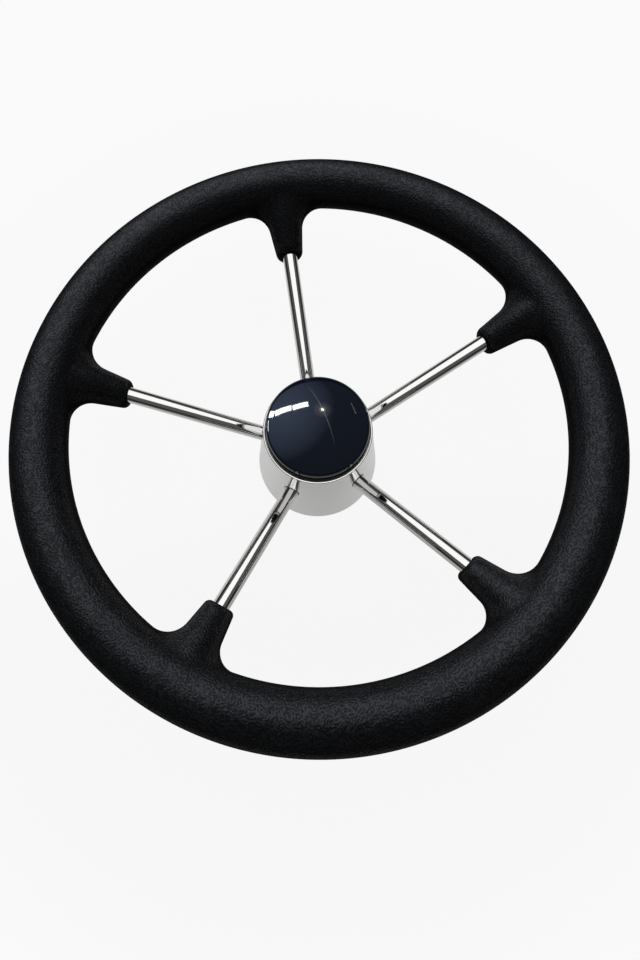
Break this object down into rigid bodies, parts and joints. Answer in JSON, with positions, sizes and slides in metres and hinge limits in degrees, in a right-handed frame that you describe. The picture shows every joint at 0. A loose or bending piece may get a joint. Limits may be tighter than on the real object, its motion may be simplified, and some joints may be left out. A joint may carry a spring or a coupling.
{
  "type": "boat steering wheel",
  "caption": "Dished boat steering wheel: a thick moulded grip ring on straight polished spokes, with a conical metal hub, a domed black cap and a tapered, keyed shaft bore.",
  "frame": {"origin": "centre of the hub's back face, on the axis of the helm shaft", "axes": "+Z along the shaft towards the helmsman, +Y along the first spoke"},
  "size_m": [0.343, 0.343, 0.12],
  "materials": {
    "grip_foam": "satin, fine moulded leather grain",
    "polished_steel": "mirror-polished stainless steel",
    "machined_steel": "fine-turned stainless steel",
    "frame_steel": "as-drawn stainless tube",
    "cap_plastic": "high gloss"
  },
  "bodies": {
    "wheel": {"foam_grip": "grip_foam", "rim_core": "frame_steel", "spoke_1": "polished_steel", "spoke_2": "polished_steel", "spoke_3": "polished_steel", "spoke_4": "polished_steel", "spoke_5": "polished_steel", "hub_shell": "polished_steel", "hub_boss": "machined_steel", "cap_seat_ring": "machined_steel"},
    "cap": {"centre_cap": "cap_plastic"}
  },
  "joints": [
    {"name": "cap_lift", "type": "slide", "parent": "wheel", "child": "cap", "axis": [0, 0, 1], "range_m": [0, 0.03]}
  ]
}
